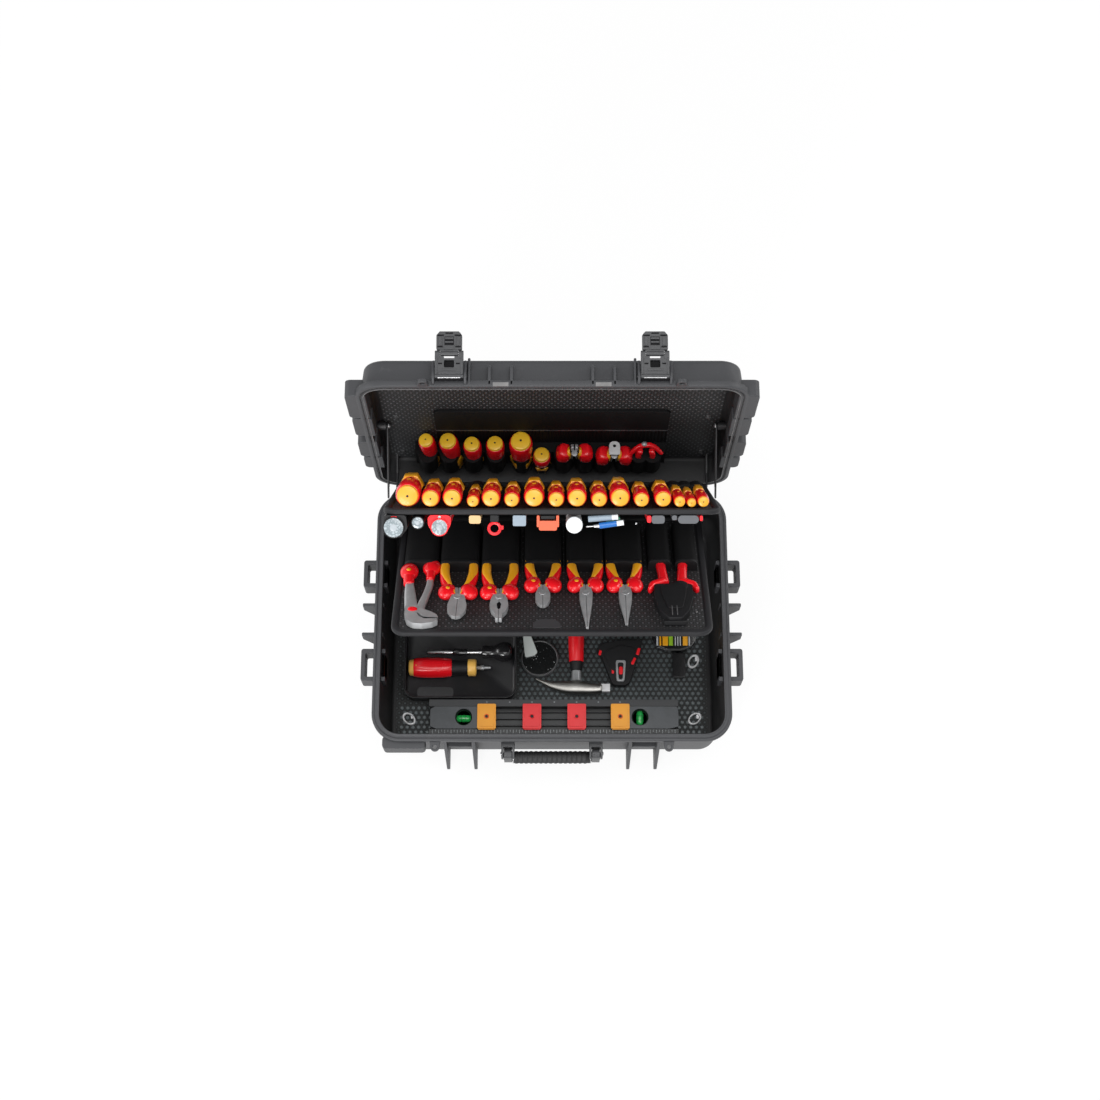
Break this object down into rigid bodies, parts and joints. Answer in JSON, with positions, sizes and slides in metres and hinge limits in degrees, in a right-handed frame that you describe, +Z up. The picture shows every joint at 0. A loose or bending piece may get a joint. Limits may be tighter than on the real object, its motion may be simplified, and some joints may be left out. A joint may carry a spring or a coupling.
{
  "type": "hard tool case",
  "caption": "Hard tool case with hinged lid, latches, carry handle and swing-out tool boards, standing open with its fitted tools.",
  "frame": {"origin": "centre of the flat bottom face", "axes": "+X to the right as seen from the front, +Y to the lid hinges, +Z up"},
  "size_m": [0.6, 0.5166, 0.5762],
  "materials": {
    "shell_plastic": "fine-textured moulded dark grey polypropylene",
    "black_plastic": "matt black moulded plastic",
    "latch_plastic": "satin dark grey nylon",
    "grip_rubber": "ribbed soft black grip",
    "seal_rubber": "black foam cord",
    "steel": "plated steel",
    "board_plastic": "black sheet embossed with small hexagons",
    "pocket_fabric": "black woven nylon",
    "red_grip": "glossy red two-component grip",
    "yellow_grip": "glossy amber-yellow plastic",
    "lens": "clear lens",
    "mixed_tools": "small tools in mixed plastics",
    "anodised": "dark anodised aluminium",
    "vial_green": "green liquid in a clear vial",
    "tool_steel": "forged and ground steel"
  },
  "bodies": {
    "base": {"base_shell": "shell_plastic", "base_fittings": "shell_plastic", "side_loops": "shell_plastic", "hinge_pins": "steel", "handle_brackets": "latch_plastic", "handle_pins": "steel", "lower_pivot_plates": "steel", "floor_mat": "board_plastic", "tool_bin": "black_plastic", "pull_rings": "steel", "handle_driver": "red_grip", "driver_collar": "yellow_grip", "extension_blade": "black_plastic", "inspection_mirror": "black_plastic", "hammer_handle": "red_grip", "hammer_head": "tool_steel", "cable_stripper": "black_plastic", "bit_box": "black_plastic", "level_body": "anodised", "level_vials": "vial_green", "level_clips": "yellow_grip"},
    "handle": {"carry_handle": "latch_plastic", "handle_grip": "grip_rubber"},
    "lid": {"lid_shell": "shell_plastic", "lid_fittings": "shell_plastic", "rim_seal": "seal_rubber", "latch_pins": "steel", "lid_panel": "board_plastic", "panel_screws": "steel", "lid_pocket": "pocket_fabric", "lid_tool_strip": "pocket_fabric", "lid_driver_grips": "red_grip", "lid_driver_caps": "yellow_grip", "lid_plier_grips": "red_grip", "lid_plier_heads": "tool_steel", "upper_pivot_plates": "steel", "stay_pins": "steel"},
    "lever_left": {"lever_left": "latch_plastic"},
    "lever_right": {"lever_right": "latch_plastic"},
    "hook_left": {"hook_left": "latch_plastic"},
    "hook_right": {"hook_right": "latch_plastic"},
    "stay_left": {"stay_left": "steel"},
    "stay_right": {"stay_right": "steel"},
    "upper_board": {"upper_board": "board_plastic", "upper_edge": "black_plastic", "upper_tool_comb": "pocket_fabric", "upper_driver_grips": "red_grip", "upper_driver_caps": "yellow_grip", "upper_driver_collars": "yellow_grip", "upper_driver_blades": "tool_steel", "torch_bodies": "black_plastic", "torch_lenses": "lens", "small_tools": "mixed_tools"},
    "lower_board": {"lower_board": "board_plastic", "lower_edge": "black_plastic", "plier_pockets": "pocket_fabric", "plier_grips": "red_grip", "plier_inlays": "yellow_grip", "plier_heads": "tool_steel", "wire_stripper": "black_plastic"}
  },
  "joints": [
    {"name": "lid_hinge", "type": "hinge", "parent": "base", "child": "lid", "pos_m": [0, 0.212, 0.1423], "axis": [1, 0, 0], "range_deg": [0, 90]},
    {"name": "handle_swing", "type": "hinge", "parent": "base", "child": "handle", "pos_m": [0, -0.217, 0.112], "axis": [-1, 0, 0], "range_deg": [0, 95]},
    {"name": "upper_board_swing", "type": "hinge", "parent": "lid", "child": "upper_board", "pos_m": [0, 0.206, 0.1723], "axis": [1, 0, 0], "range_deg": [-27.51, 0]},
    {"name": "lower_board_swing", "type": "hinge", "parent": "base", "child": "lower_board", "pos_m": [0, 0.179, 0.0813], "axis": [1, 0, 0], "range_deg": [0, 35.61]},
    {"name": "stay_left_swing", "type": "hinge", "parent": "lid", "child": "stay_left", "pos_m": [-0.25, 0.245, 0.3283], "axis": [1, 0, 0], "range_deg": [0, 44.51]},
    {"name": "stay_right_swing", "type": "hinge", "parent": "lid", "child": "stay_right", "pos_m": [0.25, 0.245, 0.3283], "axis": [1, 0, 0], "range_deg": [0, 44.51]},
    {"name": "lever_left_swing", "type": "hinge", "parent": "lid", "child": "lever_left", "pos_m": [-0.144, 0.225, 0.5633], "axis": [1, 0, 0], "range_deg": [0, 172]},
    {"name": "lever_right_swing", "type": "hinge", "parent": "lid", "child": "lever_right", "pos_m": [0.144, 0.225, 0.5633], "axis": [1, 0, 0], "range_deg": [0, 172]},
    {"name": "hook_left_swing", "type": "hinge", "parent": "lever_left", "child": "hook_left", "pos_m": [-0.144, 0.25768, 0.56789], "axis": [-1, 0, 0], "range_deg": [-25, 30]},
    {"name": "hook_right_swing", "type": "hinge", "parent": "lever_right", "child": "hook_right", "pos_m": [0.144, 0.25768, 0.56789], "axis": [-1, 0, 0], "range_deg": [-25, 30]}
  ],
  "couplings": [
    {"joint": "upper_board_swing", "follows": "lid_hinge", "ratio": -0.30556},
    {"joint": "lower_board_swing", "follows": "lid_hinge", "ratio": 0.39556},
    {"joint": "stay_left_swing", "follows": "lid_hinge", "ratio": 0.49444},
    {"joint": "stay_right_swing", "follows": "lid_hinge", "ratio": 0.49444}
  ]
}
